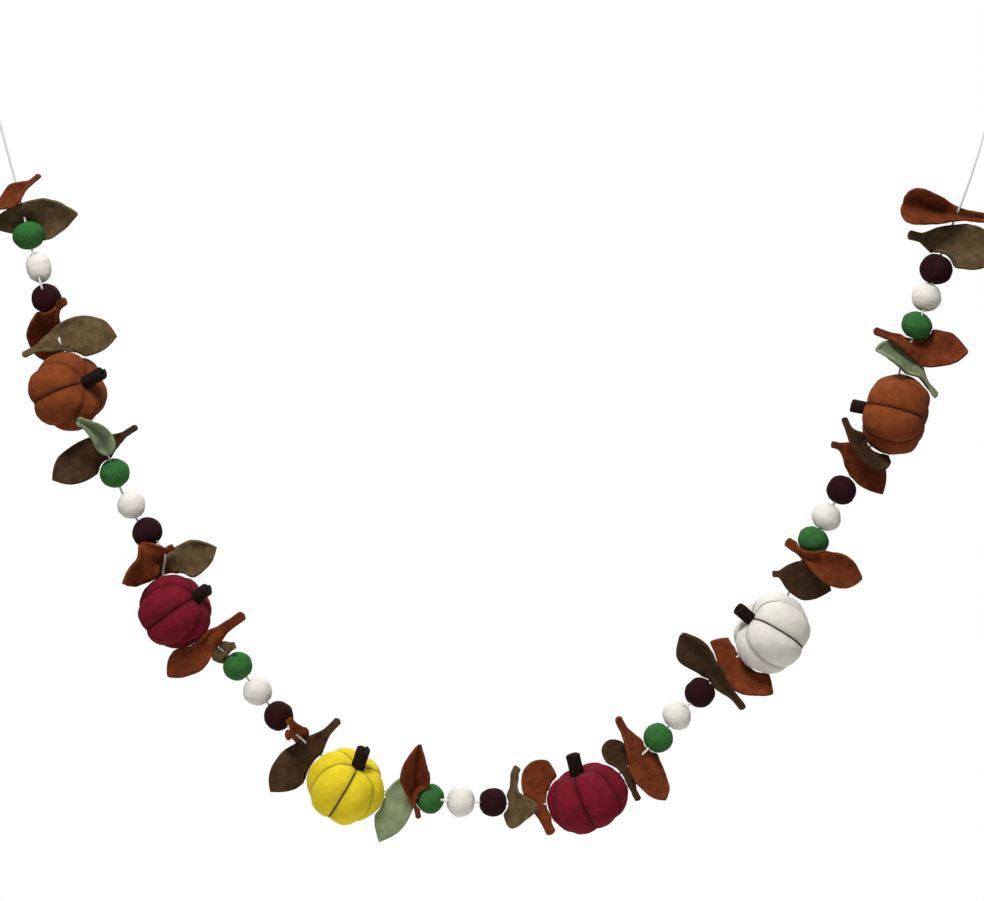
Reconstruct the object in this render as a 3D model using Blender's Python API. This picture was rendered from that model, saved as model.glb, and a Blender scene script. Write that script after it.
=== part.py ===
"""A hanging garland of felted wool: balls, small stuffed pumpkins with rolled stems and cut felt
leaves, all threaded on one cotton string that ends in a tied loop on each side.

The frame: the origin is the top of the left loop, +X runs along the span to the right loop, +Z is
up and +Y points away from the viewer. Places in the tables are in millimetres.
"""

import math
from collections import namedtuple

import bmesh
import bpy
import numpy as np
from mathutils import Matrix, Vector

MM = 0.001

# The string
STRING_WIDTH = 1.8
THREADING_GAP = 0.3
LOOP_LENGTH = 22.0
LOOP_WIDTH = 11.0
LOOP_STEPS = 7
LOOP_SPREAD = 1.25
TAIL_LENGTH = 13.0
TAIL_SWAY = 4.0
STRING_STEP = 18.0
KNOT_RADII = (3.4, 3.4, 3.9)

# The felted pieces
BALL_WIDTH = 24.0
BALL_LUMP = 0.03
LEAF_FELT = 2.6
LEAF_GAP = 1.6
PETIOLE_HALF = 2.8
PETIOLE_SHARE = 0.2
LEAF_ROWS = 9
PUMPKIN_LOBES = 6
PUMPKIN_DIP = 0.2
PUMPKIN_DIP_REACH = 0.5
CREASE_DEPTH = 0.14
STEM_RADIUS = 6.2
STEM_SUNK = 3.0
STEM_GAP = 0.4

Felt = namedtuple("Felt", "colour roughness")
FELTS = {
    "green": Felt((0.03, 0.2, 0.05), 0.95),
    "white": Felt((0.8, 0.78, 0.7), 0.95),
    "burgundy": Felt((0.05, 0.006, 0.012), 0.95),
    "rust": Felt((0.3, 0.07, 0.015), 0.95),
    "olive": Felt((0.13, 0.09, 0.045), 0.95),
    "umber": Felt((0.05, 0.03, 0.018), 0.95),
    "sage": Felt((0.25, 0.28, 0.16), 0.95),
    "raspberry": Felt((0.25, 0.012, 0.03), 0.95),
    "yellow": Felt((0.7, 0.5, 0.03), 0.95),
    "cream": Felt((0.78, 0.75, 0.68), 0.95),
    "bark": Felt((0.012, 0.008, 0.007), 0.95),
    "cotton": Felt((0.8, 0.8, 0.78), 0.85),
}

# The string's way from the left knot to the right one: x, y, z
LEFT_KNOT = (5.5, 0.0, -22.0)
RIGHT_KNOT = (791.5, 0.0, -22.0)
ROUTE = (
    (36.4, 0.0, -140.0),
    (55.2, 3.0, -204.0),
    (58.2, 8.5, -211.5),
    (61.2, -8.0, -222.5),
    (63.2, 1.0, -231.0),
    (65.5, 0.0, -262.5),
    (94.4, -9.5, -302.0),
    (103.6, 0.0, -325.4),
    (128.9, 0.0, -371.0),
    (143.0, -4.0, -388.0),
    (141.3, 2.5, -401.0),
    (173.0, -7.0, -451.5),
    (185.0, 0.0, -461.0),
    (199.4, 0.0, -476.0),
    (231.3, 0.0, -514.6),
    (248.5, -7.5, -531.0),
    (261.5, 0.5, -543.0),
    (314.0, 0.5, -573.5),
    (322.0, 3.5, -574.5),
    (336.0, -2.0, -577.0),
    (392.0, 0.0, -582.0),
    (472.3, 0.0, -576.0),
    (500.5, 4.0, -557.5),
    (511.0, -1.0, -548.5),
    (543.0, 0.0, -514.8),
    (568.0, -3.0, -489.0),
    (582.0, 8.0, -475.0),
    (615.0, 0.0, -447.0),
    (637.5, 4.0, -397.5),
    (641.5, -4.5, -389.5),
    (648.3, 0.0, -378.1),
    (670.3, 0.0, -339.1),
    (682.5, 6.5, -319.0),
    (692.0, -1.0, -305.5),
    (711.0, 0.0, -277.0),
    (717.5, 5.5, -240.0),
    (725.5, -1.0, -221.0),
    (744.1, 0.0, -166.9),
    (754.5, 4.0, -138.0),
    (761.5, -7.0, -119.5),
)

# Balls: centre x and z, width along the string and across it as shares of BALL_WIDTH
Ball = namedtuple("Ball", "felt x z along across")
BALLS = (
    Ball("green", 36.4, -140.0, 0.92, 1.04),
    Ball("white", 44.3, -164.8, 1.02, 0.84),
    Ball("burgundy", 50.1, -188.8, 0.92, 0.98),
    Ball("green", 103.6, -325.4, 0.97, 0.98),
    Ball("white", 116.4, -350.2, 0.9, 0.92),
    Ball("burgundy", 128.9, -371.4, 0.94, 1.02),
    Ball("green", 199.4, -476.0, 0.94, 0.97),
    Ball("white", 214.8, -495.5, 0.93, 0.95),
    Ball("burgundy", 231.3, -514.6, 0.95, 0.97),
    Ball("green", 349.6, -579.4, 0.92, 0.98),
    Ball("white", 373.4, -581.6, 0.93, 1.03),
    Ball("burgundy", 398.6, -582.1, 0.92, 0.94),
    Ball("green", 527.4, -531.8, 0.97, 0.97),
    Ball("white", 542.2, -514.6, 0.9, 0.97),
    Ball("burgundy", 560.0, -496.6, 0.98, 0.98),
    Ball("green", 648.3, -378.1, 0.92, 1.02),
    Ball("white", 658.8, -359.6, 0.9, 0.98),
    Ball("burgundy", 670.3, -338.6, 0.93, 0.99),
    Ball("green", 729.0, -210.2, 0.9, 1.02),
    Ball("white", 736.8, -188.2, 0.95, 0.96),
    Ball("burgundy", 744.1, -166.4, 0.97, 1.1),
)

# Pumpkins: centre x, y and z, the way of its axis on the picture (degrees up from +X), how far
# that leans towards the viewer (degrees), the turn about the axis, the radius and half height, and
# the stem's own way, lean and length, since a sewn stem seldom stands quite straight
Pumpkin = namedtuple(
    "Pumpkin",
    "felt x y z heading lean spin radius half_height stem_heading stem_lean stem_length",
)
PUMPKINS = (
    Pumpkin("rust", 66.8, 0.0, -261.7, 26, 42, 11, 31.6, 28.0, 28, 36, 19.0),
    Pumpkin("raspberry", 150.3, 0.0, -433.2, 35, 25, 15, 29.2, 28.0, 35, 28, 13.5),
    Pumpkin("yellow", 283.6, 0.0, -569.6, 58, 32, 44, 31.0, 28.0, 72, 28, 16.5),
    Pumpkin("raspberry", 472.3, 0.0, -578.8, 115, 12, 25, 32.0, 27.0, 103, 10, 16.0),
    Pumpkin("cream", 616.2, 0.0, -450.1, 146, 20, 58, 32.0, 28.0, 140, 24, 14.0),
    Pumpkin("rust", 712.7, 0.0, -279.8, 166, -12, 12, 32.0, 28.0, 168, -16, 13.0),
)
JOINED_STEMS = (1, 6)

# Leaves: the stem's end, the blade's middle and its tip, each x, y and z; the roll brings the edge
# on the right of the way from stem to tip nearer to the viewer, and the fold turns both edges up
Leaf = namedtuple("Leaf", "name felt stem middle tip roll fold width base point")
LEAVES = (
    Leaf("leaf_01_rust", "rust", (46, -2, -93), (9, 1, -121), (-16, 2, -134), -62, 10, 30, 0.5, 0.7),
    Leaf("leaf_02_olive", "olive", (-2, 4, -134), (42, 5, -126), (75, -2, -123), -28, 8, 34, 0.6, 0.7),
    Leaf("leaf_03_rust", "rust", (67, -14, -191), (50, 9, -214), (53, 26, -239), 0, 0, 30, 0.8, 0.7),
    Leaf("leaf_04_olive", "olive", (32, -6, -234), (76, -5, -219), (106, -6, -219), 6, 0, 32, 0.8, 0.7),
    Leaf("leaf_05_sage", "sage", (77, -30, -285), (94, -13, -297), (100, -8, -311), 0, 0, 17, 0.8, 0.7),
    Leaf("leaf_06_umber", "umber", (122, -14, -289), (80, 1, -315), (55, 0, -331), -10, 0, 31, 0.8, 0.7),
    Leaf("leaf_07_rust", "rust", (150, -6, -383), (128, -11, -395), (111, -24, -411), 45, 0, 30, 0.7, 0.7),
    Leaf("leaf_08_olive", "olive", (111, 6, -412), (157, 2, -394), (183, 0, -383), 0, 0, 27, 0.8, 0.7),
    Leaf("leaf_09_rust", "rust", (205, -7, -435), (166.5, -5, -465), (145, -3, -484), 15, 0, 25, 1.1, 0.7),
    Leaf("leaf_10_olive", "olive", (198, -12, -458), (187, 7.5, -464), (179, 36, -471), 0, 0, 23, 1.3, 0.7),
    Leaf("leaf_11_rust", "rust", (240, -30, -516), (246, -6, -528), (243, 22, -535), 0, 0, 18, 0.8, 0.7),
    Leaf("leaf_12_umber", "umber", (279, -6, -517), (246, -3, -552), (225, 0, -574), 0, 0, 28, 0.8, 0.7),
    Leaf("leaf_13_sage", "sage", (335, 6, -543), (320, 2, -584), (308, 0, -613), 0, 0, 30, 0.8, 0.7),
    Leaf("leaf_14_rust", "rust", (341, -12, -594), (338, -4.6, -562), (342, -28, -536), 0, 20, 30, 0.8, 0.7),
    Leaf("leaf_15_olive", "olive", (418, -7, -554), (422, -7, -581), (407, -12, -603), -33, 0, 33, 1.2, 0.7),
    Leaf("leaf_16_rust", "rust", (445, -2, -607), (435, 0, -570), (442, 6, -550), 0, 0, 29, 0.8, 0.6),
    Leaf("leaf_17_umber", "umber", (512, -8, -580), (498, 2, -553), (489, 8, -534), -40, 0, 26, 0.8, 0.4),
    Leaf("leaf_18_rust", "rust", (495, -8, -515), (520, -3, -559), (533, -8, -580), 30, 0, 28, 0.5, 0.7),
    Leaf("leaf_19_umber", "umber", (594, -8, -509), (563, -6, -471), (545, -6, -451), 38, 0, 28, 0.8, 0.7),
    Leaf("leaf_20_rust", "rust", (577, 14, -456), (596, 2, -482), (617, -4, -497), 25, 0, 27, 0.6, 0.7),
    Leaf("leaf_21_umber", "umber", (616, -6, -404), (640, 1, -409), (663, 16, -417), 0, 0, 31, 0.8, 0.7),
    Leaf("leaf_22_rust", "rust", (627, -2, -378), (664, -8, -400), (686, -8, -408), 0, 0, 25, 0.8, 0.7),
    Leaf("leaf_23_rust", "rust", (662, -6, -303), (687, 3, -318), (703, 2, -342), 0, 0, 27, 0.8, 0.7),
    Leaf("leaf_24_umber", "umber", (671, -14, -282), (690, -10, -310), (709, -2, -317), 40, 0, 28, 0.8, 0.7),
    Leaf("leaf_25_sage", "sage", (745, 4, -266), (714, -2, -236), (696, -10, -228), -50, 0, 26, 0.8, 0.9),
    Leaf("leaf_26_rust", "rust", (695, -6, -215), (743, 1, -229), (769, -3, -231), 22, 0, 30, 0.8, 0.7),
    Leaf("leaf_27_rust", "rust", (785, -2, -127), (739, -5, -120), (718, -4, -115), 0, 15, 28, 0.8, 0.7),
    Leaf("leaf_28_olive", "olive", (722, 0, -139), (768, 1, -149), (798, 2, -153), 0, 0, 34, 0.5, 0.7),
)


# Working tools


def clear_scene():
    for thing in list(bpy.data.objects):
        bpy.data.objects.remove(thing, do_unlink=True)


def felt_material(name):
    """A matt Principled material in the felt's colour, made once and shared."""
    found = bpy.data.materials.get(name)
    if found:
        return found
    made = bpy.data.materials.new(name)
    made.use_nodes = True
    shader = made.node_tree.nodes["Principled BSDF"]
    shader.inputs["Base Color"].default_value = (*FELTS[name].colour, 1.0)
    shader.inputs["Roughness"].default_value = FELTS[name].roughness
    shader.inputs["Metallic"].default_value = 0.0
    return made


def add_object(name, mesh, felt=None):
    thing = bpy.data.objects.new(name, mesh)
    bpy.context.scene.collection.objects.link(thing)
    if felt:
        mesh.materials.clear()
        mesh.materials.append(felt_material(felt))
        mesh.shade_smooth()
    return thing


def hide(thing):
    """Makes an object a cutter or a helper, which isn't part of the garland."""
    thing.hide_render = True
    thing.display_type = "WIRE"
    return thing


def boolean(thing, other, operation):
    made = thing.modifiers.new(f"{operation.lower()} {other.name}", "BOOLEAN")
    made.operation = operation
    made.object = other
    return thing


def grid_mesh(name, points):
    """A mesh from a grid of points, rows by columns, in millimetres, with coinciding points merged."""
    rows, columns = points.shape[:2]
    mesh = bpy.data.meshes.new(name)
    faces = [
        (i * columns + j, i * columns + j + 1, (i + 1) * columns + j + 1, (i + 1) * columns + j)
        for i in range(rows - 1)
        for j in range(columns - 1)
    ]
    mesh.from_pydata((points.reshape(-1, 3) * MM).tolist(), [], faces)
    sheet = bmesh.new()
    sheet.from_mesh(mesh)
    bmesh.ops.remove_doubles(sheet, verts=sheet.verts, dist=0.00002)
    bmesh.ops.dissolve_degenerate(sheet, edges=sheet.edges, dist=0.00001)
    bmesh.ops.recalc_face_normals(sheet, faces=sheet.faces)
    sheet.to_mesh(mesh)
    sheet.free()
    return mesh


def unit(vector):
    return vector / np.linalg.norm(vector)


# The string and its loops


def smooth_curve(points, step):
    """A natural cubic spline through the points, with two steps or more in each span, none of them
    much longer than the given one."""
    points = np.array(points, float)
    spans = np.linalg.norm(np.diff(points, axis=0), axis=1)
    count = len(points)
    matrix = np.eye(count)
    right = np.zeros((count, 3))
    for i in range(1, count - 1):
        matrix[i, i - 1] = spans[i - 1]
        matrix[i, i] = 2 * (spans[i - 1] + spans[i])
        matrix[i, i + 1] = spans[i]
        slopes = np.diff(points[i - 1 : i + 2], axis=0) / spans[i - 1 : i + 1, None]
        right[i] = 6 * (slopes[1] - slopes[0])
    bends = np.linalg.solve(matrix, right)
    made = []
    for i, long in enumerate(spans):
        steps = max(2, round(long / step))
        t = np.arange(steps)[:, None] / steps * long
        rest = long - t
        made.append(
            (bends[i] * rest**3 + bends[i + 1] * t**3) / (6 * long)
            + (points[i] / long - bends[i] * long / 6) * rest
            + (points[i + 1] / long - bends[i + 1] * long / 6) * t
        )
    return np.concatenate([*made, points[-1:]])


def loop_points(knot, towards, side):
    """The tail, then the teardrop loop: it rises from the knot, against the way of the garland, and
    comes back to it, its two strands lying one behind the other in the knot."""
    knot = np.array(knot, float)
    down = unit(np.array(towards, float) - knot)
    across = np.array((-down[2], 0.0, down[0])) * side
    behind = np.array((0.0, 1.0, 0.0))
    turn = np.linspace(0.0, 2 * math.pi, LOOP_STEPS + 2)[:, None]
    rise = LOOP_LENGTH * (1 - np.cos(turn)) / 2
    swing = LOOP_WIDTH / 2 * np.sin(turn) * np.sin(turn / 2)
    depth = LOOP_SPREAD * np.cos(turn / 2)
    ring = knot - down * rise + across * swing + behind * depth
    tail = knot + down * TAIL_LENGTH + across * TAIL_SWAY + behind * LOOP_SPREAD
    return np.concatenate([[tail], ring])


def string_points():
    left = loop_points(LEFT_KNOT, ROUTE[0], -1)
    right = loop_points(RIGHT_KNOT, ROUTE[-1], 1)
    way = smooth_curve([LEFT_KNOT, *ROUTE, RIGHT_KNOT], STRING_STEP)
    return np.concatenate([left, way[1:-1], right[::-1]])


def string_curve(name, points, radius):
    curve = bpy.data.curves.new(name, "CURVE")
    curve.dimensions = "3D"
    curve.bevel_depth = radius * MM
    curve.bevel_resolution = 2
    curve.use_fill_caps = True
    spline = curve.splines.new("POLY")
    spline.points.add(len(points) - 1)
    for point, place in zip(spline.points, points):
        point.co = (*(Vector(place) * MM), 1.0)
    return bpy.data.objects.new(name, curve)


def tube_mesh(name, points, radius):
    """The mesh of a round tube along the points, taken from a curve that is then removed."""
    guide = string_curve(name + "_guide", points, radius)
    bpy.context.scene.collection.objects.link(guide)
    graph = bpy.context.evaluated_depsgraph_get()
    mesh = bpy.data.meshes.new_from_object(guide.evaluated_get(graph))
    bpy.data.objects.remove(guide, do_unlink=True)
    sheet = bmesh.new()
    sheet.from_mesh(mesh)
    bmesh.ops.remove_doubles(sheet, verts=sheet.verts, dist=0.00002)
    bmesh.ops.recalc_face_normals(sheet, faces=sheet.faces)
    sheet.to_mesh(mesh)
    sheet.free()
    mesh.name = name
    return mesh


def knot_helper(name, place, towards):
    mesh = bpy.data.meshes.new(name)
    sheet = bmesh.new()
    bmesh.ops.create_uvsphere(sheet, u_segments=10, v_segments=6, radius=MM)
    bmesh.ops.scale(sheet, vec=KNOT_RADII, verts=sheet.verts)
    sheet.to_mesh(mesh)
    sheet.free()
    made = add_object(name, mesh)
    made.location = Vector(place) * MM
    way = Vector(towards) - Vector(place)
    made.rotation_euler = way.to_track_quat("Z", "Y").to_euler()
    return hide(made)


def build_string(points):
    string = add_object("string", tube_mesh("string", points, STRING_WIDTH / 2), "cotton")
    boolean(string, knot_helper("left_knot", LEFT_KNOT, ROUTE[0]), "UNION")
    boolean(string, knot_helper("right_knot", RIGHT_KNOT, ROUTE[-1]), "UNION")
    return string


def build_tunnel(points):
    """The cutter for the hole that the string makes in every piece."""
    radius = STRING_WIDTH / 2 + THREADING_GAP
    return hide(add_object("tunnel", tube_mesh("tunnel", points, radius)))


# Balls


def build_ball(number, ball, points, tunnel):
    """A ball of wound and felted wool: a sphere with slow lumps, its own width along the string."""
    mesh = bpy.data.meshes.new("ball")
    sheet = bmesh.new()
    bmesh.ops.create_uvsphere(sheet, u_segments=12, v_segments=7, radius=1.0)
    for vertex in sheet.verts:
        x, y, z = vertex.co
        lump = math.sin(3 * x + number) * math.cos(2 * y - number) + math.sin(4 * z + 2 * number)
        size = 1 + BALL_LUMP / 2 * lump
        half = BALL_WIDTH / 2 * MM * size
        vertex.co = (x * ball.across * half, y * ball.across * half, z * ball.along * half)
    sheet.to_mesh(mesh)
    sheet.free()
    made = add_object(f"ball_{number:02d}_{ball.felt}", mesh, ball.felt)
    centre = np.array((ball.x, 0.0, ball.z))
    near = int(np.linalg.norm(points - centre, axis=1).argmin())
    made.location = Vector(centre) * MM
    way = Vector(points[near + 1] - points[near - 1])
    made.rotation_euler = way.to_track_quat("Z", "Y").to_euler()
    return boolean(made, tunnel, "DIFFERENCE")


# Pumpkins and their stems


def frame_along(heading, lean):
    """A turn that points +Z the given way: degrees up from +X on the picture, and degrees of lean
    towards the viewer."""
    heading, lean = math.radians(heading), math.radians(lean)
    way = Vector(
        (
            math.cos(heading) * math.cos(lean),
            -math.sin(lean),
            math.sin(heading) * math.cos(lean),
        )
    )
    return way.to_track_quat("Z", "Y").to_matrix().to_4x4()


def pumpkin_axes(pumpkin):
    spin = Matrix.Rotation(math.radians(pumpkin.spin), 4, "Z")
    return frame_along(pumpkin.heading, pumpkin.lean) @ spin


def pumpkin_points(pumpkin, rows, around, larger=0.0):
    """A flattened ball with a dip at each end. Its radius is drawn in along six creases that run
    from dip to dip, as a thread pulled tight round a stuffed ball does."""
    down = np.linspace(0.0, math.pi, rows)[:, None]
    turn = np.linspace(0.0, 2 * math.pi, around + 1)[None, :]
    dip = PUMPKIN_DIP * (
        np.exp(-((down / PUMPKIN_DIP_REACH) ** 2))
        + np.exp(-(((math.pi - down) / PUMPKIN_DIP_REACH) ** 2))
    )
    lobe = np.abs(np.sin(turn * PUMPKIN_LOBES / 2)) ** 0.6
    pull = 1 - CREASE_DEPTH * (1 - lobe) * np.sin(down) ** 0.5
    flat = (pumpkin.radius * np.sin(down) ** 0.85 * pull + larger) * (np.sin(down) > 1e-6)
    height = pumpkin.half_height * np.cos(down) * (1 - dip) * pull**0.5
    height = height + larger * np.sign(np.cos(down)) * (np.abs(np.cos(down)) > 1e-6)
    return np.stack([flat * np.cos(turn), flat * np.sin(turn), height + 0 * turn], axis=2)


def place_pumpkin(name, pumpkin, larger=0.0):
    made = add_object(name, grid_mesh(name, pumpkin_points(pumpkin, 9, 36, larger)))
    made.matrix_world = (
        Matrix.Translation(Vector((pumpkin.x, pumpkin.y, pumpkin.z)) * MM) @ pumpkin_axes(pumpkin)
    )
    return made


def stem_place(pumpkin):
    """Where the stem's foot centre is: in the upper dip, sunk a little."""
    axis = np.array(pumpkin_axes(pumpkin).to_3x3())[:, 2]
    seat = pumpkin.half_height * (1 - PUMPKIN_DIP) - STEM_SUNK
    return np.array((pumpkin.x, pumpkin.y, pumpkin.z)) + axis * seat


def place_stem(number, pumpkin):
    """A strip of felt rolled up tight: a short round bar that stands in the pumpkin's upper dip."""
    length = pumpkin.stem_length + STEM_SUNK
    mesh = bpy.data.meshes.new("stem")
    sheet = bmesh.new()
    bmesh.ops.create_cone(
        sheet,
        cap_ends=True,
        segments=14,
        radius1=STEM_RADIUS * MM,
        radius2=STEM_RADIUS * 1.04 * MM,
        depth=length * MM,
    )
    rim = [edge for edge in sheet.edges if all(vertex.co.z > 0 for vertex in edge.verts)]
    bmesh.ops.bevel(sheet, geom=rim, offset=0.8 * MM, segments=1, affect="EDGES")
    bmesh.ops.translate(sheet, vec=(0.0, 0.0, length / 2 * MM), verts=sheet.verts)
    sheet.to_mesh(mesh)
    sheet.free()
    made = add_object(f"stem_{number}", mesh, "bark")
    turn = frame_along(pumpkin.stem_heading, pumpkin.stem_lean)
    made.matrix_world = Matrix.Translation(Vector(stem_place(pumpkin)) * MM) @ turn
    return made


def build_pumpkin(number, pumpkin, tunnel):
    """The pumpkin and its stem. The stem's foot is cut to the dip, a small gap off, or, on the two
    rust pumpkins, grown together with it."""
    name = f"pumpkin_{number}_{pumpkin.felt}"
    body = place_pumpkin(name, pumpkin)
    body.data.materials.append(felt_material(pumpkin.felt))
    body.data.shade_smooth()
    stem = place_stem(number, pumpkin)
    if number in JOINED_STEMS:
        body.data.materials.append(felt_material("bark"))
        for face in stem.data.polygons:
            face.material_index = 0
        boolean(body, hide(stem), "UNION").modifiers[-1].material_mode = "TRANSFER"
    else:
        boolean(stem, hide(place_pumpkin(f"seat_{number}", pumpkin, STEM_GAP)), "DIFFERENCE")
    boolean(body, tunnel, "DIFFERENCE")


# Leaves


def leaf_half_width(share, base, point):
    """How wide the blade is each side of its midrib, as a share of its largest half width. It swells
    from the petiole with the power base and draws in to its tip with the power point."""
    blade = np.clip((share - PETIOLE_SHARE) / (1 - PETIOLE_SHARE), 0.0, 1.0)
    widest = base / (base + point)
    return blade**base * (1 - blade) ** point / (widest**base * (1 - widest) ** point)


def leaf_points(leaf, rows, columns):
    """The felt's middle surface. Its midrib is a parabola through the stem's end, the blade's middle
    at six tenths and the tip. At each step the blade reaches sideways by its half width, turned about
    the midrib by the roll and folded up on both sides by the fold."""
    stem, middle, tip = (np.array(place, float) for place in leaf[2:5])
    pull = (middle - 0.16 * stem - 0.36 * tip) / 0.48
    share = np.linspace(0.0, 1.0, rows)[:, None]
    midrib = (1 - share) ** 2 * stem + 2 * share * (1 - share) * pull + share**2 * tip
    along = 2 * (1 - share) * (pull - stem) + 2 * share * (tip - pull)
    along /= np.linalg.norm(along, axis=1, keepdims=True)
    viewer = np.array((0.0, -1.0, 0.0))
    right = np.cross(along, viewer)
    right /= np.linalg.norm(right, axis=1, keepdims=True)
    face = np.cross(right, along)
    roll = math.radians(leaf.roll)
    side = right * math.cos(roll) + face * math.sin(roll)
    up = np.cross(side, along)
    reach = leaf_half_width(share, leaf.base, leaf.point) * leaf.width / 2
    petiole = PETIOLE_HALF * np.clip((1 - share) / 0.25, 0.0, 1.0) ** 0.5
    reach = np.maximum(reach, petiole)
    across = np.linspace(-1.0, 1.0, columns)[None, :, None]
    rise = np.sqrt(across**2 + 0.06) - math.sqrt(0.06)
    fold = math.radians(leaf.fold)
    width = reach[:, None] * across * math.cos(fold)
    lift = reach[:, None] * rise * math.sin(fold)
    return midrib[:, None] + side[:, None] * width + up[:, None] * lift


def pushed_clear(points, centre, radii, turn):
    """Points inside the egg shape are moved straight out to its surface, so that a leaf bends round
    what it meets."""
    local = (points - centre) @ turn / radii
    far = np.linalg.norm(local, axis=-1, keepdims=True)
    moved = local / np.maximum(far, 1e-6) * np.maximum(far, 1.0)
    return (moved * radii) @ turn.T + centre


def bent_leaf(leaf, rows, columns, neighbours):
    points = leaf_points(leaf, rows, columns)
    for centre, radii, turn in neighbours:
        points = pushed_clear(points, centre, radii, turn)
    return points


def leaf_neighbours():
    """The balls and pumpkins as egg shapes, with half the felt and a gap added."""
    spare = LEAF_FELT / 2 + LEAF_GAP
    found = []
    for ball in BALLS:
        half = BALL_WIDTH / 2 * max(ball.along, ball.across) * (1 + BALL_LUMP) + spare
        found.append((np.array((ball.x, 0.0, ball.z)), np.full(3, half), np.eye(3)))
    for pumpkin in PUMPKINS:
        turn = np.array(pumpkin_axes(pumpkin).to_3x3())
        radii = np.array((pumpkin.radius, pumpkin.radius, pumpkin.half_height)) + spare
        found.append((np.array((pumpkin.x, pumpkin.y, pumpkin.z)), radii, turn))
    return found


def build_leaf(leaf, neighbours, tunnel):
    mesh = grid_mesh(leaf.name, bent_leaf(leaf, LEAF_ROWS, 5, neighbours))
    made = add_object(leaf.name, mesh, leaf.felt)
    thick = made.modifiers.new("felt", "SOLIDIFY")
    thick.thickness = LEAF_FELT * MM
    thick.offset = 0.0
    boolean(made, tunnel, "DIFFERENCE")


def main():
    clear_scene()
    points = string_points()
    build_string(points)
    tunnel = build_tunnel(points)
    for number, ball in enumerate(BALLS, 1):
        build_ball(number, ball, points, tunnel)
    for number, pumpkin in enumerate(PUMPKINS, 1):
        build_pumpkin(number, pumpkin, tunnel)
    neighbours = leaf_neighbours()
    for leaf in LEAVES:
        build_leaf(leaf, neighbours, tunnel)


main()
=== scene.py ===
"""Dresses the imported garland: felted wool balls, stuffed felt pumpkins with rolled stems and cut felt
leaves on one twisted cotton string, hung in front of a plain pale studio floor.

It is laid out as an add-on and run as a script. Places in the tables are in millimetres, in the
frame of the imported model: the origin is the top of the left loop, +X runs along the span, +Z is up
and +Y points away from the viewer.
"""

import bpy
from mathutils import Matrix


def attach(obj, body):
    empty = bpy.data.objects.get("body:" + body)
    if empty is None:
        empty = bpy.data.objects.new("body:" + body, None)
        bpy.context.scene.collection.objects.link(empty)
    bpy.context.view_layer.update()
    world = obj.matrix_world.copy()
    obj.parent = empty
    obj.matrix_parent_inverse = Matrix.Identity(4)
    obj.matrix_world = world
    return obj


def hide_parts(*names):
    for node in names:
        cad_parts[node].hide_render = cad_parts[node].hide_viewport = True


bl_info = {
    "name": "Felt pumpkin garland",
    "version": (1, 0, 0),
    "blender": (4, 5, 0),
    "location": "3D View > Sidebar > Garland",
    "description": "A hanging garland of felted wool balls, stuffed pumpkins and cut leaves",
    "category": "Add Mesh",
}

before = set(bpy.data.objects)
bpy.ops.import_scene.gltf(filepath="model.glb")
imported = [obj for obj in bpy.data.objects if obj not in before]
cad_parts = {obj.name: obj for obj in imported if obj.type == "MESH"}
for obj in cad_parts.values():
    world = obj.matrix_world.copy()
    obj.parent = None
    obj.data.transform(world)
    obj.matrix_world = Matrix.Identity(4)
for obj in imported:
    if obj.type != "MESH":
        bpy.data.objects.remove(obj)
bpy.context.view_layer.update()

import math
from collections import namedtuple

import bpy
import numpy as np
from mathutils import Matrix, Vector

MM = 0.001

# The photograph: its width in pixels, what a pixel is worth, and the place of its middle
PHOTO_WIDTH = 984
PIXEL = 0.78
PHOTO_MIDDLE = (397.8, -307.7)
CAMERA_AWAY = 4.0
SENSOR = 36.0

# The string's loops and knots
LOOP_LENGTH = 22.0
LOOP_WIDTH = 11.0
LOOP_SPREAD = 1.25
TAIL_LENGTH = 13.0
TAIL_SWAY = 4.0
KNOT_LENGTH = 6.0
KNOT_RADIUS = 2.4
KNOT_TURNS = 3.5

# The balls, their dimples where the string goes in, and their shallow folds
BALL_WIDTH = 24.0
DIMPLE_DEPTH = 0.9
FOLD_DEPTH = 0.28

# The pumpkins: the dip at each end as a share of the half height, the angle it reaches (radians), the
# small gathers all round it, and the height and size of the felt's coarse and fine lumps
PUMPKIN_LOBES = 6
PUMPKIN_DIP = 0.2
PUMPKIN_DIP_REACH = 0.5
GATHERS = 21
GATHER_DEPTH = 0.45
COARSE_LUMPS = (0.45, 22.0)
FINE_LUMPS = (0.12, 6.0)

# The thread in the front crease, laid double: its width and how far it stands out of each felt, both
# in thread widths
FRONT_THREAD = 2.2
FRONT_THREAD_RISE = {"yellow": 0.15, "cream": 0.15, "rust": -0.2, "raspberry": -0.6}
PALE_FELTS = ("yellow", "cream")

# The stems: a strip of felt, rolled up from its core in so many turns
STEM_RADIUS = 6.2
STEM_SUNK = 3.0
STEM_STRIP = 2.1
STEM_TURNS = 2.1
STEM_CORE = 0.9

# The leaves: the shares of the length at the petiole's end and at the blade's middle, the gaps to
# balls and pumpkins, and how full a pumpkin is, where an ellipsoid has 2
PETIOLE_SHARE = 0.12
MIDDLE_SHARE = 0.6
BALL_GAP = 1.0
PUMPKIN_GAP = 1.5
PUMPKIN_FULLNESS = 2.15

# The creased waves in a leaf: height, radians along the leaf, radians across it
SWAY = (1.8, 7.5, 1.2)
FLAP = (1.9, 10.5, -1.5)

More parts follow.
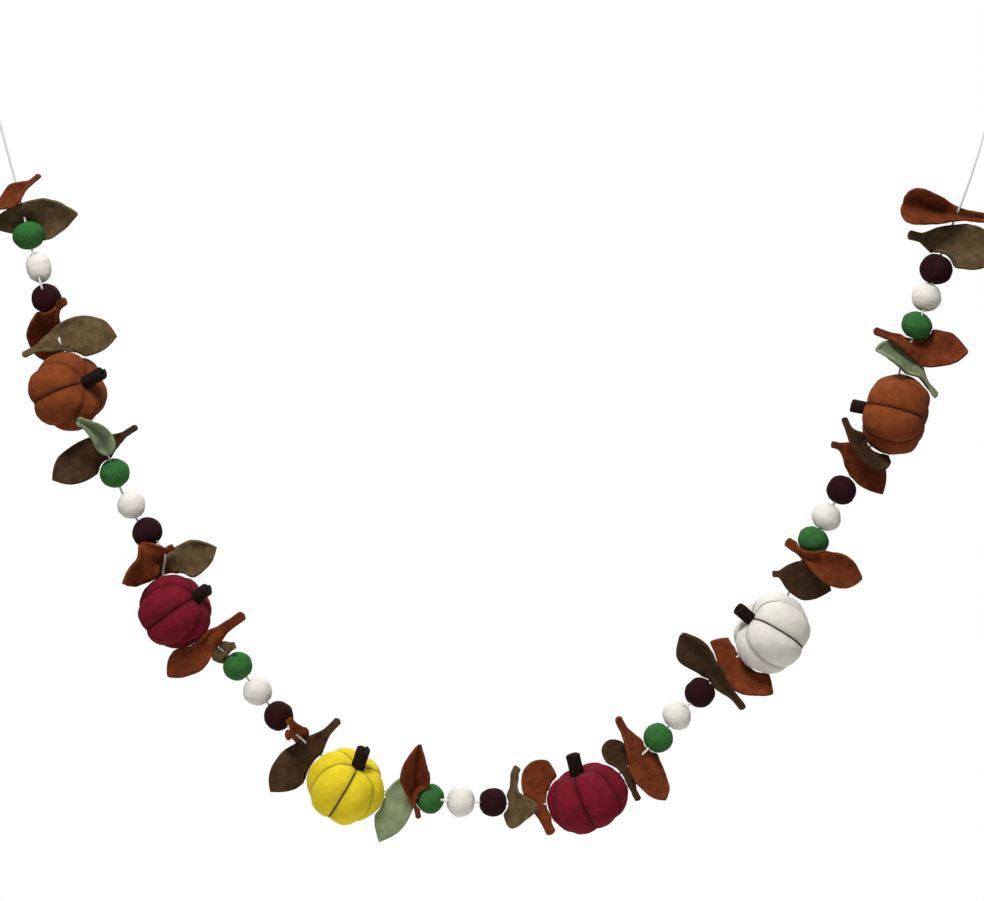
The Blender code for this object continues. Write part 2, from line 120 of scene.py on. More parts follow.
# The string's way from the left knot to the right one: x, y, z
LEFT_KNOT = (5.5, 0, -22)
RIGHT_KNOT = (791.5, 0, -22)
ROUTE = (
    (36.4, 0, -140), (55.2, 3, -204), (58.2, 8.5, -211.5), (61.2, -8, -222.5),
    (63.2, 1, -231), (65.5, 0, -262.5), (94.4, -9.5, -302), (103.6, 0, -325.4),
    (128.9, 0, -371), (143, -4, -388), (141.3, 2.5, -401), (173, -7, -451.5),
    (185, 0, -461), (199.4, 0, -476), (231.3, 0, -514.6), (248.5, -7.5, -531),
    (261.5, 0.5, -543), (314, 0.5, -573.5), (322, 3.5, -574.5), (336, -2, -577),
    (392, 0, -582), (472.3, 0, -576), (500.5, 4, -557.5), (511, -1, -548.5),
    (543, 0, -514.8), (568, -3, -489), (582, 8, -475), (615, 0, -447),
    (637.5, 4, -397.5), (641.5, -4.5, -389.5), (648.3, 0, -378.1), (670.3, 0, -339.1),
    (682.5, 6.5, -319), (692, -1, -305.5), (711, 0, -277), (717.5, 5.5, -240),
    (725.5, -1, -221), (744.1, 0, -166.9), (754.5, 4, -138), (761.5, -7, -119.5),
)

# Balls: centre x and z, width along the string and across it as shares of BALL_WIDTH. Their felts
# follow each other in turn
BALL_FELTS = ("green", "white", "burgundy")
Ball = namedtuple("Ball", "x z along across")
BALLS = (
    Ball(36.4, -140, 0.92, 1.04),
    Ball(44.3, -164.8, 1.02, 0.84),
    Ball(50.1, -188.8, 0.92, 0.98),
    Ball(103.6, -325.4, 0.97, 0.98),
    Ball(116.4, -350.2, 0.9, 0.92),
    Ball(128.9, -371.4, 0.94, 1.02),
    Ball(199.4, -476, 0.94, 0.97),
    Ball(214.8, -495.5, 0.93, 0.95),
    Ball(231.3, -514.6, 0.95, 0.97),
    Ball(349.6, -579.4, 0.92, 0.98),
    Ball(373.4, -581.6, 0.93, 1.03),
    Ball(398.6, -582.1, 0.92, 0.94),
    Ball(527.4, -531.8, 0.97, 0.97),
    Ball(542.2, -514.6, 0.9, 0.97),
    Ball(560, -496.6, 0.98, 0.98),
    Ball(648.3, -378.1, 0.92, 1.02),
    Ball(658.8, -359.6, 0.9, 0.98),
    Ball(670.3, -338.6, 0.93, 0.99),
    Ball(729, -210.2, 0.9, 1.02),
    Ball(736.8, -188.2, 0.95, 0.96),
    Ball(744.1, -166.4, 0.97, 1.1),
)

# Pumpkins: centre x and z, the way of its axis on the picture (degrees up from +X), how far that
# leans towards the viewer (degrees), the turn about the axis, the radius and half height, and the
# stem's own way, lean and length, since a sewn stem seldom stands quite straight
PUMPKIN_FIELDS = "felt x z heading lean spin radius half_height stem_heading stem_lean stem_length"
Pumpkin = namedtuple("Pumpkin", PUMPKIN_FIELDS)
PUMPKINS = (
    Pumpkin("rust", 66.8, -261.7, 26, 42, 11, 31.6, 28, 28, 36, 19),
    Pumpkin("raspberry", 150.3, -433.2, 35, 25, 15, 29.2, 28, 35, 28, 13.5),
    Pumpkin("yellow", 283.6, -569.6, 58, 32, 44, 31, 28, 72, 28, 16.5),
    Pumpkin("raspberry", 472.3, -578.8, 115, 12, 25, 32, 27, 103, 10, 16),
    Pumpkin("cream", 616.2, -450.1, 146, 20, 58, 32, 28, 140, 24, 14),
    Pumpkin("rust", 712.7, -279.8, 166, -12, 12, 32, 28, 168, -16, 13),
)
JOINED_STEMS = (1, 6)

# Leaves: the petiole's end, the blade's middle and its tip, each x, y and z; the roll brings the edge
# on the right of the way from end to tip nearer to the viewer, and the fold turns both edges up.
# Base and point are the powers by which the blade widens and draws in, and the petiole is its half
# width. The cup lifts the edges by a share of the blade's half width, and the ripple waves them
Leaf = namedtuple("Leaf", "felt stem middle tip roll fold width base point petiole cup ripple")
LEAF_ROWS = (
    ("rust", (46, -2, -93), (9, 1, -121), (-16, 2, -134), -62, 10, 30, 0.5, 0.7, 3.4, 0.3, 2.4),
    ("olive", (-2, 4, -134), (42, 5, -126), (75, -2, -123), -28, 8, 34, 0.6, 0.7, 2.8, 0, 1.6),
    ("rust", (67, -14, -191), (50, 9, -214), (53, 26, -239), 0, 0, 30, 0.8, 0.7, 3.4, 0.3, 1.8),
    ("olive", (32, -6, -234), (76, -5, -219), (106, -6, -219), 6, 0, 32, 0.8, 0.7, 2.7, 0, 1.5),
    ("sage", (77, -30, -285), (94, -14, -297), (100, -9.3, -311), 0, 0, 14, 0.3, 0.35, 3.2, 0.75, 0.8),
    ("umber", (122, -15, -289), (80, -1, -315), (55, -1, -331), -10, 0, 31, 0.8, 0.7, 2.6, 0.1, 1.6),
    ("rust", (150, -6, -383), (128, -11, -395), (111, -24, -411), 45, 0, 30, 0.7, 0.7, 2.8, 0.2, 2.7),
    ("olive", (111, 7, -412), (157, 3, -394.5), (183, 1, -383), 0, 0, 27, 0.8, 0.7, 2.8, 0.05, 2),
    ("rust", (205, -7, -435), (166.5, -5, -465), (145, -3, -484), 15, 0, 25, 1.1, 0.7, 4, 0, 2),
    ("olive", (198, -12, -459), (187, 7.5, -465), (179, 36, -472), 0, 0, 23, 1.3, 0.7, 2.8, 0, 2),
    ("rust", (240, -30, -516), (246, -6, -528), (243, 22, -535), 0, 0, 18, 0.8, 0.7, 2.8, 0.2, 1.4),
    ("umber", (279, -6, -517), (245.7, -3, -551.7), (225, 0, -574), 0, 0, 28, 0.8, 0.7, 3.2, 0, 1.2),
    ("sage", (342, 6, -549), (323.6, 0.8, -584), (309.8, 0.5, -613), 0, 0, 26, 0.8, 0.7, 2.8, 0, -1.2),
    ("rust", (341, -12, -594), (338, -4.6, -562), (342, -28, -536), 0, 46, 32, 0.8, 0.7, 3, 0, 1.2),
    ("olive", (418, -3, -554), (415.5, -1.5, -578), (424, -5, -596), -33, 0, 34, 1.6, 0.15, 3.2, 0, 1.2),
    ("rust", (444.6, -2, -607), (434.6, 1, -570), (441.6, 6, -550), -10, 0, 29, 0.8, 0.6, 4, 0, 0.6),
    ("umber", (512, -8, -580), (498, 2, -553), (489, 8, -534), -40, 0, 26, 0.8, 0.4, 2.8, 0.2, 1.6),
    ("rust", (495, -8, -515), (520, -3, -559), (533, -8, -580), 30, 0, 28, 0.5, 0.7, 3.4, 0.1, 2),
    ("umber", (594, -8, -509), (563, -6, -471), (545, -6, -451), 38, 0, 28, 0.8, 0.6, 3, 0.4, 1.4),
    ("rust", (575, 14, -455), (594.7, 2, -482.3), (617, -4, -497.2), 25, 0, 28, 0.6, 0.7, 8, 0.1, 1.2),
    ("umber", (616, -6, -404), (640, 1, -408), (663, 16, -417), 0, 0, 31, 0.8, 0.7, 2.6, 0.05, 0.4),
    ("rust", (627, -2, -378), (664, -8, -400), (686, -8, -408), 0, 0, 25, 0.8, 0.7, 3.8, 0.35, 2.2),
    ("rust", (662, -5, -303), (687, 5, -318), (703, 3.5, -342), 0, 0, 27, 0.8, 0.7, 2.8, 0.1, 1.8),
    ("umber", (671, -14.7, -282), (690, -10.8, -309.8), (709, -2.8, -316.8), 40, 0, 28, 0.8, 0.7, 3, 0.3, 1.4),
    ("sage", (745, 4, -266), (714, -2, -237), (696, -10, -229), -50, 0, 26, 0.8, 0.9, 3.2, 0.55, 0.8),
    ("rust", (695, -6, -214), (743, 1, -228.5), (769, -3, -231), 22, 0, 30, 0.8, 0.7, 3.4, 0.1, 2.2),
    ("rust", (785, -2, -127), (739, -5, -120), (718, -4, -115), 0, 15, 29, 0.8, 0.35, 3.8, 0.6, 1.6),
    ("olive", (722, 0, -139), (768, 1, -149), (798, 2, -153), 0, 0, 34, 0.5, 0.7, 3.8, 0.05, 1.4),
)
LEAVES = [Leaf(*row) for row in LEAF_ROWS]


# Colours and sizes


def linear(code):
    """The linear colour of an sRGB hex value: each channel below 0.04045 is divided by 12.92, and the
    others are (channel + 0.055) / 1.055 to the power 2.4."""
    channels = (int(code[i : i + 2], 16) / 255 for i in (0, 2, 4))
    return tuple(c / 12.92 if c < 0.04045 else ((c + 0.055) / 1.055) ** 2.4 for c in channels)


def colour(name, note, code):
    make = bpy.props.FloatVectorProperty
    return make(name=name, description=note, default=linear(code), min=0.0, max=1.0, subtype="COLOR")


def length(name, note, default):
    make = bpy.props.FloatProperty
    return make(name=name, description=note, default=default, min=0.0, unit="LENGTH", precision=5)


def share(name, note, default):
    make = bpy.props.FloatProperty
    return make(name=name, description=note, default=default, min=0.0, max=1.0, subtype="FACTOR")


class GarlandColours(bpy.types.PropertyGroup):
    green: colour("Green", "The green balls", "386f35")
    white: colour("White", "The off-white balls", "f3efe6")
    burgundy: colour("Burgundy", "The dark red balls", "2c0c11")
    rust: colour("Rust", "The rust pumpkins", "8b4621")
    # The rust felt made darker for the leaves, as painted shade
    deep_rust: colour("Deep rust", "The rust leaves: the rust felt painted darker as shade", "7a3a1b")
    olive: colour("Olive", "The olive-brown leaves", "6b573a")
    umber: colour("Umber", "The dark brown leaves", "4b3522")
    sage: colour("Sage", "The pale green leaves", "8f9c76")
    raspberry: colour("Raspberry", "The raspberry pumpkins", "7c1728")
    yellow: colour("Yellow", "The yellow pumpkin", "f2da2c")
    cream: colour("Cream", "The cream pumpkin", "f1eee3")
    bark: colour("Bark", "The rolled stems", "241711")
    thread: colour("Thread", "The yellow and cream pumpkins' thread", "4a2e12")
    # A real thread, coloured near black so that it also stands for the painted shade deep in the crease
    red_thread_and_shade: colour("Red thread and crease shade", "The raspberry and rust pumpkins' thread", "2b0a0b")
    cotton: colour("Cotton", "The string", "fdfcf9")
    floor: colour("Floor", "The studio floor", "dcdad7")


class GarlandSizes(bpy.types.PropertyGroup):
    string_width: length("String width", "How thick the twisted string is", 0.0018)
    string_lay: length("String lay", "How far along the string one strand takes to go round it", 0.0065)
    thread_width: length("Thread width", "How thick the thread in the creases is", 0.0006)
    felt: length("Felt", "How thick the leaves' felt is", 0.0026)
    wave: length("Wave", "How high the slow waves in the leaves stand", 0.0004)
    lump: share("Lump", "How uneven the balls are, as a share of their width", 0.03)
    crease: share("Crease", "How deep the pumpkins' creases are, as a share of their radius", 0.17)


# Shapes


Shell = namedtuple("Shell", "points faces finish shade")


def unit(vectors):
    """Each vector divided by its own length."""
    return vectors / np.linalg.norm(vectors, axis=-1, keepdims=True)


def lumps(points, size, seed):
    """Slow unevenness about 0, mostly within -1 and 1: the sum of fourteen sine waves in random ways,
    each about the given size long, over the square root of their number."""
    random = np.random.default_rng(seed)
    ways = unit(random.normal(size=(14, 3))) * random.uniform(0.6, 1.6, (14, 1)) * 2 * math.pi / size
    start = random.uniform(0.0, 2 * math.pi, 14)
    return np.sin(points @ ways.T + start).sum(axis=-1) / math.sqrt(14)


def outward(points, faces):
    """The faces, turned round if they close an inside-out shell: the signed volumes of the cones from
    the origin to the faces then add up to less than nothing."""
    volume = sum(
        np.einsum("ij,ij->", points[group[:, 0]], np.cross(points[group[:, i]], points[group[:, i + 1]]))
        for group in faces
        for i in range(1, group.shape[1] - 1)
    )
    return faces if volume > 0 else [group[:, ::-1] for group in faces]


def ring_shell(rings, start=None, end=None, finish=0, shade=0.0):
    """A closed shell from a grid of points, ring after ring: four-sided faces join each ring to the
    next, and a fan of triangles round a pole closes each end. The painted shade is kept for the material."""
    count, around = rings.shape[:2]
    start = rings[0].mean(axis=0) if start is None else start
    end = rings[-1].mean(axis=0) if end is None else end
    points = np.concatenate([rings.reshape(-1, 3), [start, end]])
    place = np.arange(count * around).reshape(count, around)
    beside = np.roll(place, -1, axis=1)
    quads = np.stack([place[:-1], beside[:-1], beside[1:], place[1:]], axis=-1).reshape(-1, 4)
    first = np.stack([beside[0], place[0], np.full(around, count * around)], axis=-1)
    last = np.stack([place[-1], beside[-1], np.full(around, count * around + 1)], axis=-1)
    faces = outward(points, [quads, np.concatenate([first, last])])
    shade = np.broadcast_to(shade, (count, around))
    shade = np.concatenate([shade.ravel(), [shade[0].mean(), shade[-1].mean()]])
    return Shell(points, faces, finish, shade)


def globe_shell(grid, finish=0, shade=0.0):
    """A closed shell from a grid whose first and last rows are its poles."""
    shade = np.broadcast_to(shade, grid.shape[:2])
    return ring_shell(grid[1:-1], grid[0].mean(axis=0), grid[-1].mean(axis=0), finish, shade[1:-1])


def make_piece(name, shells, finishes, nodes):
    """One object at the origin from closed shells in millimetres. It rides on the garland's body and
    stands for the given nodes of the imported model."""
    points = np.concatenate([shell.points for shell in shells]) * MM
    starts = np.cumsum([0, *[len(shell.points) for shell in shells]])
    groups = [(faces + s, shell.finish) for s, shell in zip(starts, shells) for faces in shell.faces]
    corners = np.concatenate([faces.ravel() for faces, _ in groups])
    sides = np.concatenate([np.full(len(faces), faces.shape[1]) for faces, _ in groups])
    numbers = np.concatenate([np.full(len(faces), finish) for faces, finish in groups])
    mesh = bpy.data.meshes.new(name)
    mesh.vertices.add(len(points))
    mesh.vertices.foreach_set("co", points.ravel())
    mesh.loops.add(len(corners))
    mesh.loops.foreach_set("vertex_index", corners.astype(np.int32))
    mesh.polygons.add(len(sides))
    mesh.polygons.foreach_set("loop_start", (np.cumsum(sides) - sides).astype(np.int32))
    mesh.polygons.foreach_set("material_index", numbers.astype(np.int32))
    mesh.update(calc_edges=True)
    mesh.attributes.new("shade", "FLOAT", "POINT").data.foreach_set(
        "value", np.concatenate([shell.shade for shell in shells]).astype(np.float32)
    )
    for finish in finishes:
        mesh.materials.append(finish)
    mesh.shade_smooth()
    piece = bpy.data.objects.new(name, mesh)
    bpy.context.scene.collection.objects.link(piece)
    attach(piece, "root")
    if nodes:
        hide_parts(*nodes)
    return piece


def tube_rings(path, radius, reference, around):
    """Rings square to a path: the way along it comes from neighbouring points, one side is square to
    that way and the reference, and the radius may change from point to point and round the ring."""
    way = unit(np.gradient(path, axis=0))
    side = unit(np.cross(way, reference))
    up = np.cross(side, way)
    turn = np.linspace(0.0, 2 * math.pi, around, endpoint=False)[None, :, None]
    return path[:, None] + radius * (side[:, None] * np.cos(turn) + up[:, None] * np.sin(turn))


def distance_along(path):
    """How far each point of a path is from its start, along it."""
    return np.concatenate([[0.0], np.cumsum(np.linalg.norm(np.diff(path, axis=0), axis=1))])


def evenly_spaced(path, step):
    """The same path with points a step apart, put on the straight lines between its points."""
    far = distance_along(path)
    at = np.linspace(0.0, far[-1], max(2, round(far[-1] / step)) + 1)
    return np.stack([np.interp(at, far, path[:, i]) for i in range(3)], axis=1)


def rounded(away, radius):
    """How full a rounded end or edge is at a distance from it: a quarter circle's height, 0 to 1."""
    return np.sqrt(1 - (1 - np.clip(away / radius, 0.0, 1.0)) ** 2)


# Materials


def connect(tree, node, sockets):
    """Sets inputs, by name or number, each to a constant or to the output that is linked to it."""
    for socket, value in sockets.items():
        if isinstance(value, bpy.types.NodeSocket):
            tree.links.new(value, node.inputs[socket])
        else:
            node.inputs[socket].default_value = value


def add_node(tree, kind, settings=None, sockets=None):
    """Adds a node. Settings are its own fields, and sockets are its inputs."""
    node = tree.nodes.new("ShaderNode" + kind)
    for field, value in (settings or {}).items():
        setattr(node, field, value)
    connect(tree, node, sockets or {})
    return node


def noise(tree, where, size, detail, roughness, distortion=0.0):
    """Noise with clouds of about the given size, in metres."""
    sockets = {"Vector": where, "Scale": 1 / size, "Detail": detail, "Roughness": roughness}
    return add_node(tree, "TexNoise", {}, {**sockets, "Distortion": distortion}).outputs[0]


def ranged(tree, value, low, high, to_low=0.0, to_high=1.0):
    """A value brought from one range to another, and kept within it."""
    sockets = {0: value, 1: low, 2: high, 3: to_low, 4: to_high}
    return add_node(tree, "MapRange", {}, sockets).outputs[0]


def mixed(tree, amount, first, second):
    """The first colour where the amount is 0, and the second where it is 1."""
    sockets = {0: amount, 6: first, 7: second}
    return add_node(tree, "Mix", {"data_type": "RGBA"}, sockets).outputs[2]


def bumped(tree, height, strength, distance):
    """The surface's normal, tilted by the slopes of a height."""
    sockets = {"Height": height, "Strength": strength, "Distance": distance}
    return add_node(tree, "Bump", {}, sockets).outputs[0]


def kept_shade(tree):
    """How much painted shade the mesh gives each place."""
    return add_node(tree, "Attribute", {"attribute_name": "shade"}).outputs["Fac"]


def new_material(name):
    """An empty material, its tree, its shader and the place of each point."""
    material = bpy.data.materials.new(name)
    material.use_nodes = True
    tree = material.node_tree
    where = add_node(tree, "TexCoord").outputs["Object"]
    return material, tree, tree.nodes["Principled BSDF"], where


def toned(tone, strength):
    """A colour made darker or lighter by a factor, with its alpha."""
    return (*[min(1.0, channel * strength) for channel in tone], 1.0)


def wool_felt(wool, tone, seed):
    """Wool felted by rubbing it wet: a matt, slightly cloudy surface of crossing fibres, with no
    weave and no gloss, that looks paler where it is seen edge on. Clouds of thicker wool are some
    millimetres wide, and a second tone is carded in. The fibres are 0.03 mm thick in truth, too fine
    to show, so they are drawn as tufts a millimetre or two wide. Light goes some millimetres deep
    into pale wool, which softens its shaded side."""
    material, tree, shader, where = new_material(wool.title)
    place = add_node(tree, "Mapping", {}, {"Vector": where, "Location": (seed, seed / 3, -seed)})
    place = place.outputs[0]
    cloud = noise(tree, place, wool.blotch * MM, 3.0, 0.6)
    tuft = noise(tree, place, wool.fibre * MM, 5.0, 0.7, 1.8)
    both = add_node(tree, "Math", {"operation": "ADD"}, {0: cloud, 1: tuft}).outputs[0]
    dark, pale = ranged(tree, both, 0.72, 1.02), ranged(tree, both, 1.0, 1.3)
    carded = noise(tree, place, wool.blotch * MM / 0.7, 6.0, 0.75)
    carded = ranged(tree, carded, 0.46, 0.62, 0.0, 0.6)
    shown = mixed(tree, dark, toned(tone, 1 - wool.contrast), toned(tone, 1.0))
    shown = mixed(tree, pale, shown, toned(tone, 1 + wool.contrast))
    shown = mixed(tree, carded, shown, toned(linear(wool.fleck), 1.0))
    # Painted shade: where the mesh's shade attribute says so, the felt is painted down to 0.4 of its tone
    shown = mixed(tree, kept_shade(tree), shown, toned(tone, 0.4))
    relief = add_node(tree, "Math", {"operation": "MULTIPLY_ADD"}, {0: cloud, 1: 0.7, 2: tuft})
    sockets = {
        "Base Color": shown,
        "Normal": bumped(tree, relief.outputs[0], 0.55, 0.5 * MM),
        "Roughness": ranged(tree, tuft, 0.3, 0.7, 0.86, 1.0),
        "Specular IOR Level": 0.15,
        "Sheen Weight": 0.12,
        "Sheen Roughness": 0.6,
        "Sheen Tint": toned(tone, 1.6),
        "Subsurface Weight": wool.depth,
        "Subsurface Radius": (6 * MM, 5.5 * MM, 5 * MM),
        "Subsurface Scale": 1.0,
    }
    connect(tree, shader, sockets)
    return material


def twisted_cotton(name, tone, lay, groove):
    """Cotton spun and twisted from plies: matt and soft, with painted shade in the grooves between
    the plies, which the shade attribute marks. Its fibres run along the ply and are drawn as short streaks."""
    material, tree, shader, where = new_material(name)
    streak = noise(tree, where, lay / 4, 4.0, 0.6)
    worn = mixed(tree, streak, toned(tone, 0.86), toned(tone, 1.06))
    sockets = {
        # The grooves are painted down to the groove share of the tone, as painted shade
        "Base Color": mixed(tree, kept_shade(tree), worn, toned(tone, groove)),
        "Normal": bumped(tree, streak, 0.4, 0.15 * MM),
        "Roughness": ranged(tree, streak, 0.3, 0.7, 0.75, 0.92),
        "Specular IOR Level": 0.1,
        "Sheen Weight": 0.05,
        "Subsurface Weight": 0.6,
        "Subsurface Radius": (2 * MM, 2 * MM, 2 * MM),
        "Subsurface Scale": 1.0,
    }
    connect(tree, shader, sockets)
    return material


def matt_paint(name, tone):
    """Matt emulsion on a smooth board: pale, with the faint unevenness that a roller leaves."""
    material, tree, shader, where = new_material(name)
    cloud = noise(tree, where, 1 / 6, 3.0, 0.5)
    shown = mixed(tree, cloud, toned(tone, 0.98), toned(tone, 1.02))
    rough = ranged(tree, cloud, 0.0, 1.0, 0.7, 0.85)
    connect(tree, shader, {"Base Color": shown, "Roughness": rough})
    return material


# For each felt: the size of its clouds and tufts in millimetres, how much the tone changes, the tone
# of the wool carded in with it, and how much light goes through its pale fibres
Wool = namedtuple("Wool", "title blotch fibre contrast fleck depth")
WOOLS = {
    "green": Wool("wet-felted wool green", 6.0, 1.3, 0.3, "2c6a3a", 0.0),
    "white": Wool("wet-felted wool off-white", 6.0, 1.3, 0.06, "eee7da", 0.6),
    "burgundy": Wool("wet-felted wool burgundy", 6.0, 1.3, 0.4, "2a1216", 0.0),
    "rust": Wool("hand-made wool felt rust", 6.5, 1.5, 0.26, "79391b", 0.0),
    # The rust felt again, darker and more mottled: painted shade for the leaves
    "deep_rust": Wool("hand-made wool felt deep rust", 6.5, 1.5, 0.4, "54200f", 0.0),
    "olive": Wool("hand-made wool felt olive", 6.5, 1.5, 0.42, "4f3e26", 0.0),
    "umber": Wool("hand-made wool felt umber", 6.5, 1.5, 0.45, "351f12", 0.0),
    "sage": Wool("hand-made wool felt sage", 6.5, 1.5, 0.2, "7d8d68", 0.0),
    "raspberry": Wool("hand-made wool felt raspberry", 6.5, 1.5, 0.28, "6a1222", 0.0),
    "yellow": Wool("hand-made wool felt yellow", 6.5, 1.5, 0.1, "ecca26", 0.5),
    "cream": Wool("hand-made wool felt cream", 6.5, 1.5, 0.06, "ebe4d6", 0.6),
    "bark": Wool("hand-made wool felt dark brown", 6.0, 1.4, 0.35, "1b110d", 0.0),
}


def felt(name):
    """The felt of that colour, made once and shared."""
    wool = WOOLS[name]
    found = bpy.data.materials.get(wool.title)
    if found:
        return found
    tone = getattr(bpy.context.scene.garland_colours, name)
    seed = list(WOOLS).index(name) * 0.37
    return wool_felt(wool, tone, seed)


# The string


def natural_spline(points, step):
    """A natural cubic spline through the points, about a step between its own points. The second
    derivatives at the points solve the usual three-diagonal set of equations, with none at the ends;
    each span is then the cubic that they give."""
    points = np.array(points, float)
    spans = np.linalg.norm(np.diff(points, axis=0), axis=1)
    inner = 2 * (spans[:-1] + spans[1:])
    matrix = np.diag(np.concatenate([[1.0], inner, [1.0]]))
    matrix += np.diag(np.append(spans[:-1], 0.0), -1) + np.diag(np.insert(spans[1:], 0, 0.0), 1)
    right = np.zeros_like(points)
    right[1:-1] = 6 * np.diff(np.diff(points, axis=0) / spans[:, None], axis=0)
    bends = np.linalg.solve(matrix, right)
    ends = np.cumsum(spans)
    at = np.linspace(0.0, ends[-1], round(ends[-1] / step) + 1)
    span = np.minimum(np.searchsorted(ends, at, side="right"), len(spans) - 1)
    long = spans[span][:, None]
    t = at[:, None] - (ends[span][:, None] - long)
    rest = long - t
    return (
        (bends[span] * rest**3 + bends[span + 1] * t**3) / (6 * long)
        + (points[span] / long - bends[span] * long / 6) * rest
        + (points[span + 1] / long - bends[span + 1] * long / 6) * t
    )


def loop_path(knot, towards, side):
    """The tail, then the teardrop loop. The loop rises from the knot against the way of the garland
    as one minus a cosine, swings out sideways as a sine times the sine of half the turn, and goes
    from behind to in front as the cosine of half the turn, so that its strands lie one behind the
    other in the knot."""
    knot = np.array(knot, float)
    down = unit(np.array(towards, float) - knot)
    across = np.array((-down[2], 0.0, down[0])) * side
    behind = np.array((0.0, 1.0, 0.0))
    turn = np.linspace(0.0, 2 * math.pi, 65)[:, None]
    rise = LOOP_LENGTH * (1 - np.cos(turn)) / 2
    swing = LOOP_WIDTH / 2 * np.sin(turn) * np.sin(turn / 2)
    ring = knot - down * rise + across * swing + behind * LOOP_SPREAD * np.cos(turn / 2)
    tail = knot + down * TAIL_LENGTH + across * TAIL_SWAY + behind * LOOP_SPREAD
    return np.concatenate([[tail], ring])


def string_path(step):
    """The whole string at even steps, with each point moved to the mean of its neighbours within
    2 mm, so that it bends softly where the loops leave the knots."""
    left = loop_path(LEFT_KNOT, ROUTE[0], -1)
    right = loop_path(RIGHT_KNOT, ROUTE[-1], 1)
    way = natural_spline([LEFT_KNOT, *ROUTE, RIGHT_KNOT], 1.0)
    path = evenly_spaced(np.concatenate([left, way[1:-1], right[::-1]]), step)
    reach = round(2.0 / step)
    padded = np.concatenate([np.repeat(path[:1], reach, 0), path, np.repeat(path[-1:], reach, 0)])
    even = np.ones(2 * reach + 1) / (2 * reach + 1)
    path = np.stack([np.convolve(padded[:, i], even, "valid") for i in range(3)], axis=1)
    return evenly_spaced(path, step)


def strand_shell(path, width, lay, reference, finish=0, strands=3, around=12):
    """A twisted string along a path. Its radius falls from the plies to the grooves between them as
    the size of a cosine that turns once round in each lay, and its two ends are rounded."""
    far = distance_along(path)
    turn = np.linspace(0.0, 2 * math.pi, around, endpoint=False)[None, :]
    ply = np.abs(np.cos(strands / 2 * (turn - 2 * math.pi * far[:, None] / lay)))
    end = rounded(np.minimum(far, far[-1] - far), width / 2)[:, None]
    radius = width / 2 * (0.84 + 0.2 * ply) * np.maximum(end, 0.02)
    rings = tube_rings(path, radius[..., None], reference, around)
    # The grooves between the plies are painted darker as shade
    return ring_shell(rings, finish=finish, shade=0.8 * (1 - ply) ** 1.5)


def knot_path(place, towards):
    """The string wound round itself: a short screw line about the way of the string, whose radius
    falls to nothing at both ends."""
    turn_to = np.array((Vector(towards) - Vector(place)).to_track_quat("Z", "Y").to_matrix())
    t = np.linspace(0.0, 1.0, 160)
    turn = 2 * math.pi * KNOT_TURNS * t
    radius = KNOT_RADIUS * np.sqrt(1 - np.abs(2 * t - 1) ** 6)
    local = np.stack([radius * np.cos(turn), radius * np.sin(turn), KNOT_LENGTH * (t - 0.5)], axis=1)
    return local @ turn_to.T + np.array(place), turn_to[:, 2]


class GARLAND_OT_string(bpy.types.Operator):
    """Makes the twisted cotton string, its two loops and its two knots"""

    bl_idname = "garland.string"
    bl_label = "String"

    def execute(self, context):
        sizes = context.scene.garland_sizes
        width, lay = sizes.string_width / MM, sizes.string_lay / MM
        cotton = twisted_cotton(
            "twisted cotton string white", context.scene.garland_colours.cotton, sizes.string_lay, 0.86
        )
        path = string_path(0.6)
        shell = strand_shell(path, width, lay, (0.0, 1.0, 0.0))
        string = make_piece("cotton_string", [shell], [cotton], ["string"])
        for side, place, towards in (("left", LEFT_KNOT, ROUTE[0]), ("right", RIGHT_KNOT, ROUTE[-1])):
            turns, axis = knot_path(place, towards)
            shell = strand_shell(turns, width, lay, axis)
            make_piece(f"{side}_knot", [shell], [cotton], [])
        return {"FINISHED"}


# Balls


